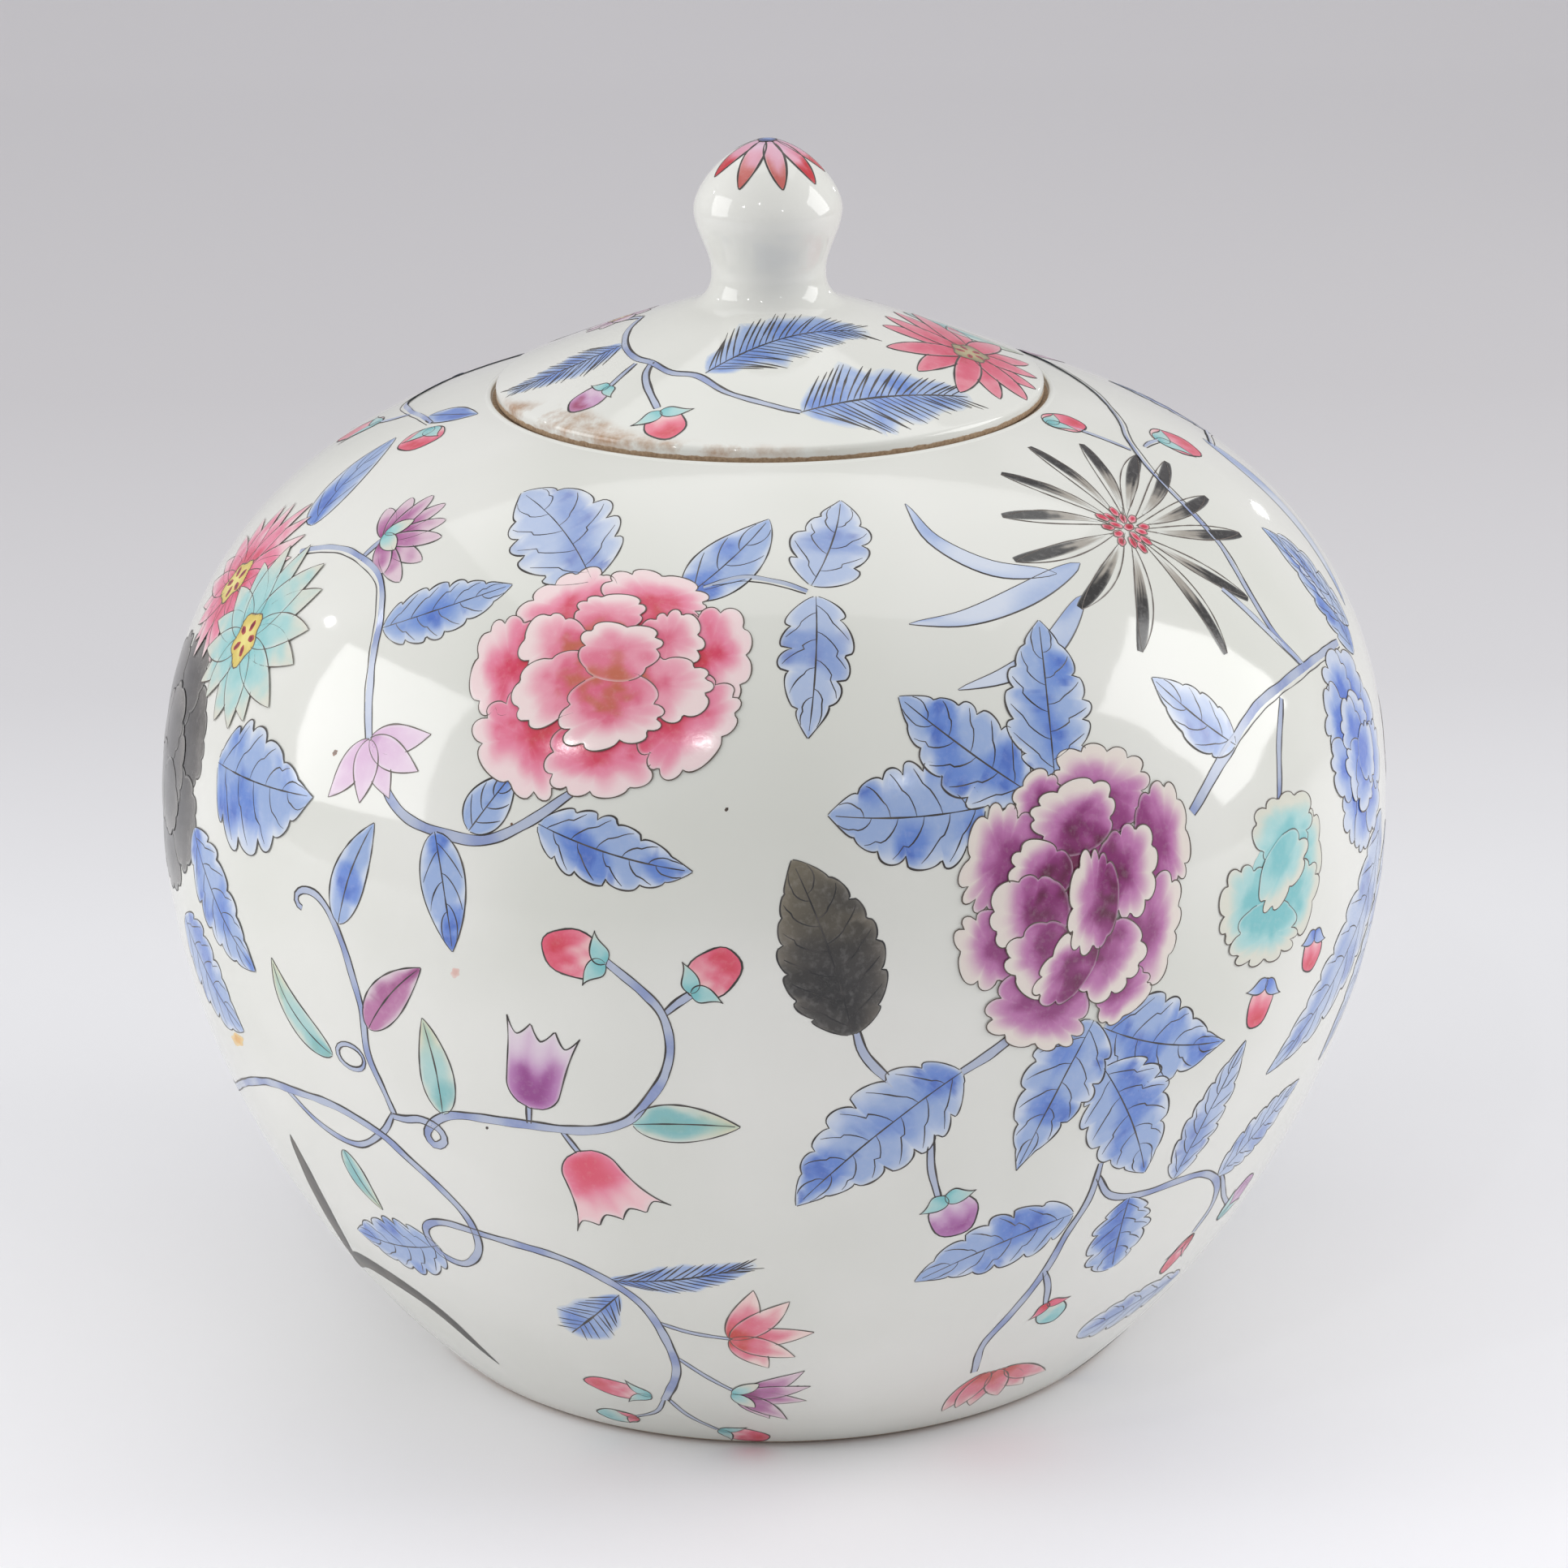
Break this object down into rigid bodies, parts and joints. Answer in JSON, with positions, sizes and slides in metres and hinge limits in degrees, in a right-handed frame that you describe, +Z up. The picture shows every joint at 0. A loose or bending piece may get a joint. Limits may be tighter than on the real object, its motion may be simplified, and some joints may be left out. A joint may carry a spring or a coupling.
{
  "type": "ginger jar",
  "caption": "Globe-shaped glazed porcelain storage jar with a low domed lift-off lid, a locating flange and a bud-shaped finial.",
  "frame": {"origin": "centre of the foot ring's resting plane", "axes": "+Z up along the jar's turning axis; -Y is the front shown in the picture"},
  "size_m": [0.23, 0.23, 0.2283],
  "materials": {
    "glazed_porcelain": "glossy grey-white glaze with overglaze enamel flowers",
    "lid_porcelain": "glossy grey-white glaze with overglaze enamel flowers, unglazed edge",
    "unglazed_biscuit": "matt unglazed clay"
  },
  "bodies": {
    "jar": {"jar_body": "glazed_porcelain"},
    "lid": {"lid_dome": "lid_porcelain", "lid_flange": "unglazed_biscuit", "finial": "lid_porcelain"}
  },
  "joints": [
    {"name": "lid_lift", "type": "slide", "parent": "jar", "child": "lid", "axis": [0, 0, 1], "range_m": [0, 0.08]}
  ]
}
